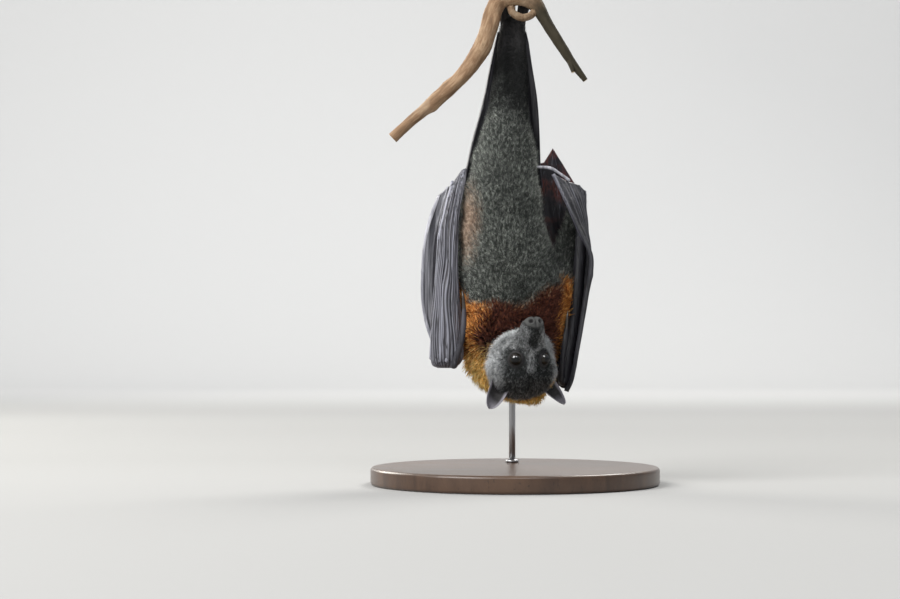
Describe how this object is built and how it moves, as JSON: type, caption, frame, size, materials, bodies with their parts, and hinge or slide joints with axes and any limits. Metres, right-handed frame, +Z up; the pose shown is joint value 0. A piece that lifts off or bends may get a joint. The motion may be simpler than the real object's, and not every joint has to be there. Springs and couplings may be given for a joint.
{
  "type": "hanging fruit bat model",
  "caption": "Life-size still model of a fruit bat hanging head down by its feet from a short branch perch, wings half folded, on a round display stand.",
  "frame": {"origin": "centre of the display base's underside, which is also the bottom centre of the whole box, because the round base is the widest piece both ways", "axes": "+Z up, the bat hangs head down and faces -Y, its own left side lies towards -X"},
  "size_m": [0.26, 0.26, 0.45],
  "materials": {
    "grey_body_fur": "grizzled charcoal fur with pale tips",
    "grey_head_fur": "short grizzled grey fur",
    "rufous_mantle_fur": "long orange-brown fur",
    "wing_skin": "thin dark skin with a soft sheen",
    "claw_horn": "dark horn",
    "eye": "wet dark brown",
    "bark": "weathered smooth bark",
    "stand_wood": "dark satin wood",
    "stand_steel": "satin steel rod"
  },
  "bodies": {
    "root": {"claw_left_1": "claw_horn", "claw_left_2": "claw_horn", "claw_left_3": "claw_horn", "claw_left_4": "claw_horn", "claw_left_5": "claw_horn", "claw_right_1": "claw_horn", "claw_right_2": "claw_horn", "claw_right_3": "claw_horn", "claw_right_4": "claw_horn", "claw_right_5": "claw_horn", "claw_thumb_left": "claw_horn", "claw_thumb_right": "claw_horn", "ear_left": "wing_skin", "ear_right": "wing_skin", "eye_left": "eye", "eye_right": "eye", "fingers_left": "wing_skin", "foot_left": "wing_skin", "foot_right": "wing_skin", "forearm_left": "wing_skin", "forearm_right": "wing_skin", "hand_left": "wing_skin", "hand_right": "wing_skin", "head": "grey_head_fur", "leg_left": "grey_body_fur", "leg_right": "grey_body_fur", "neck": "rufous_mantle_fur", "perch": "bark", "stand_base": "stand_wood", "stand_rod": "stand_steel", "thumb_left": "wing_skin", "thumb_right": "wing_skin", "trunk": "grey_body_fur", "upper_arm_left": "grey_body_fur", "upper_arm_right": "grey_body_fur", "wing_arm_left": "wing_skin", "wing_arm_right": "wing_skin", "wing_hand_left": "wing_skin", "wing_leg_left": "wing_skin", "wing_leg_right": "wing_skin"}
  },
  "joints": []
}
